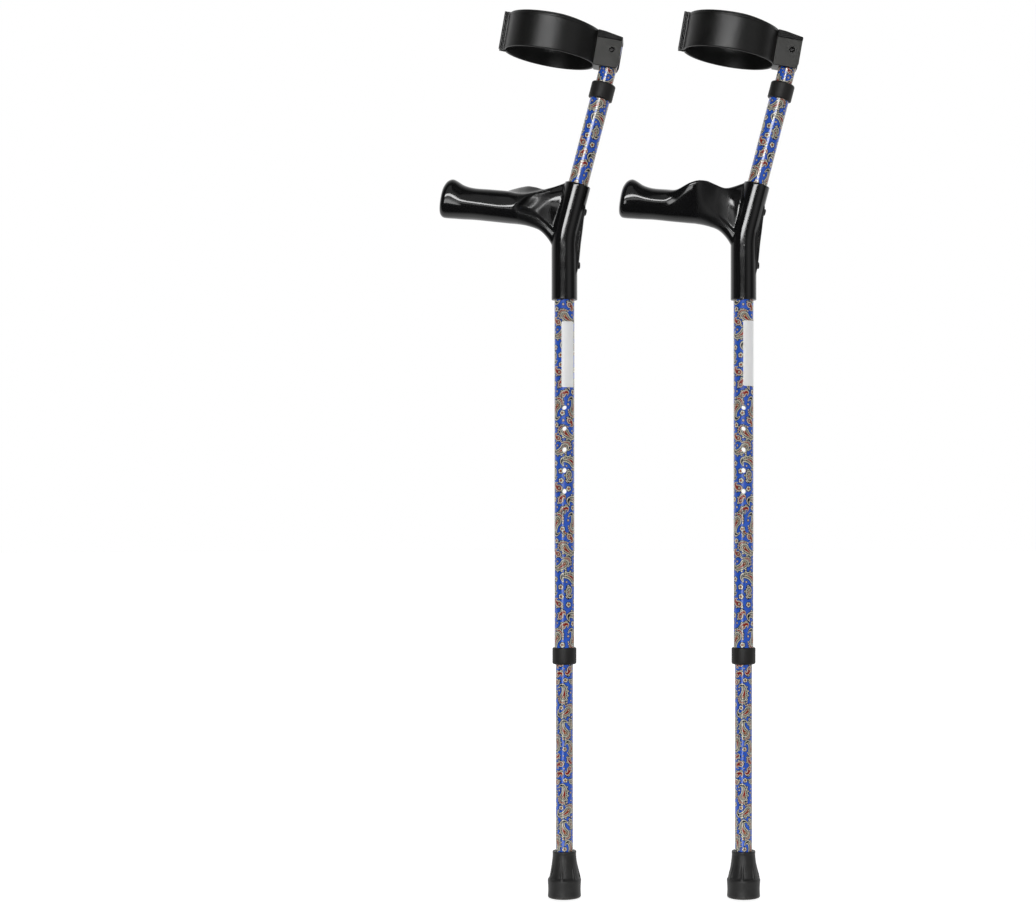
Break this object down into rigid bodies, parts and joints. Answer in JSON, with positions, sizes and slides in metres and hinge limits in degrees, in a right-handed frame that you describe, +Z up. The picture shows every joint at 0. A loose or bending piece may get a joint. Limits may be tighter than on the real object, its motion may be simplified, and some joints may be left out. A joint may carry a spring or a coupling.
{
  "type": "pair of forearm crutches",
  "caption": "Pair of height-adjustable forearm crutches with shaped hand grips, pivoting open-front arm cuffs, snap-button tubes and rubber feet.",
  "frame": {"origin": "centre of the pair's bounding box, on the floor under the feet", "axes": "+Z up along the shafts; -X is forward, where both grips point; Y runs across a crutch, from one side of the cuff to the other. The crutch for the right hand stands at the smaller X"},
  "size_m": [0.3992, 0.09, 0.9729],
  "materials": {
    "printed_tube": "aluminium tube with a printed paisley pattern on royal blue under a clear gloss lacquer",
    "gloss_black_plastic": "hard glossy black moulding",
    "satin_black_plastic": "satin charcoal-black moulding",
    "collar_plastic": "satin black clip collar",
    "black_rubber": "dark grey-black rubber, matt",
    "plated_steel": "bright plated steel",
    "dark_steel": "blackened screw head",
    "spring_steel": "bare spring strip"
  },
  "bodies": {
    "right_frame": {"right_upper_tube": "printed_tube", "right_leg_collar": "collar_plastic", "right_stem_collar": "collar_plastic", "right_handle": "gloss_black_plastic", "right_handle_screw_upper": "dark_steel", "right_handle_screw_lower": "dark_steel"},
    "right_leg": {"right_leg_tube": "printed_tube", "right_leg_button_spring": "spring_steel", "right_ferrule": "black_rubber", "right_ferrule_washer": "plated_steel"},
    "right_leg_button": {"right_leg_snap_button": "plated_steel"},
    "right_stem": {"right_stem_tube": "printed_tube", "right_stem_button_spring": "spring_steel"},
    "right_stem_button": {"right_stem_snap_button": "plated_steel"},
    "right_cuff_assembly": {"right_cuff": "satin_black_plastic", "right_cuff_pivot_screw": "dark_steel", "right_cuff_pivot_nut": "plated_steel"},
    "left_frame": {"left_upper_tube": "printed_tube", "left_leg_collar": "collar_plastic", "left_stem_collar": "collar_plastic", "left_handle": "gloss_black_plastic", "left_handle_screw_upper": "dark_steel", "left_handle_screw_lower": "dark_steel"},
    "left_leg": {"left_leg_tube": "printed_tube", "left_leg_button_spring": "spring_steel", "left_ferrule": "black_rubber", "left_ferrule_washer": "plated_steel"},
    "left_leg_button": {"left_leg_snap_button": "plated_steel"},
    "left_stem": {"left_stem_tube": "printed_tube", "left_stem_button_spring": "spring_steel"},
    "left_stem_button": {"left_stem_snap_button": "plated_steel"},
    "left_cuff_assembly": {"left_cuff": "satin_black_plastic", "left_cuff_pivot_screw": "dark_steel", "left_cuff_pivot_nut": "plated_steel"}
  },
  "joints": [
    {"name": "right_leg_slide", "type": "slide", "parent": "right_frame", "child": "right_leg", "axis": [0, 0, 1], "range_m": [-0.023, 0.115]},
    {"name": "right_leg_button_press", "type": "slide", "parent": "right_leg", "child": "right_leg_button", "axis": [0, 1, 0], "range_m": [0, 0.0045], "stiffness_N_per_m": 1200, "deforming": ["right_leg_button_spring"]},
    {"name": "right_stem_slide", "type": "slide", "parent": "right_frame", "child": "right_stem", "axis": [0.2504, 0, 0.9681], "range_m": [0, 0.072]},
    {"name": "right_stem_button_press", "type": "slide", "parent": "right_stem", "child": "right_stem_button", "axis": [0, -1, 0], "range_m": [0, 0.0045], "stiffness_N_per_m": 1200, "deforming": ["right_stem_button_spring"]},
    {"name": "right_cuff_tilt", "type": "hinge", "parent": "right_stem", "child": "right_cuff_assembly", "pos_m": [-0.00984, 0, 0.92881], "axis": [0, 1, 0], "range_deg": [0, 15]},
    {"name": "left_leg_slide", "type": "slide", "parent": "left_frame", "child": "left_leg", "axis": [0, 0, 1], "range_m": [-0.023, 0.115]},
    {"name": "left_leg_button_press", "type": "slide", "parent": "left_leg", "child": "left_leg_button", "axis": [0, 1, 0], "range_m": [0, 0.0045], "stiffness_N_per_m": 1200, "deforming": ["left_leg_button_spring"]},
    {"name": "left_stem_slide", "type": "slide", "parent": "left_frame", "child": "left_stem", "axis": [0.2504, 0, 0.9681], "range_m": [0, 0.072]},
    {"name": "left_stem_button_press", "type": "slide", "parent": "left_stem", "child": "left_stem_button", "axis": [0, -1, 0], "range_m": [0, 0.0045], "stiffness_N_per_m": 1200, "deforming": ["left_stem_button_spring"]},
    {"name": "left_cuff_tilt", "type": "hinge", "parent": "left_stem", "child": "left_cuff_assembly", "pos_m": [0.18716, 0, 0.92881], "axis": [0, 1, 0], "range_deg": [0, 15]},
    {"name": "left_crutch_lift_off", "type": "slide", "parent": "right_frame", "child": "left_frame", "axis": [1, 0, 0], "range_m": [0, 0.35]}
  ]
}
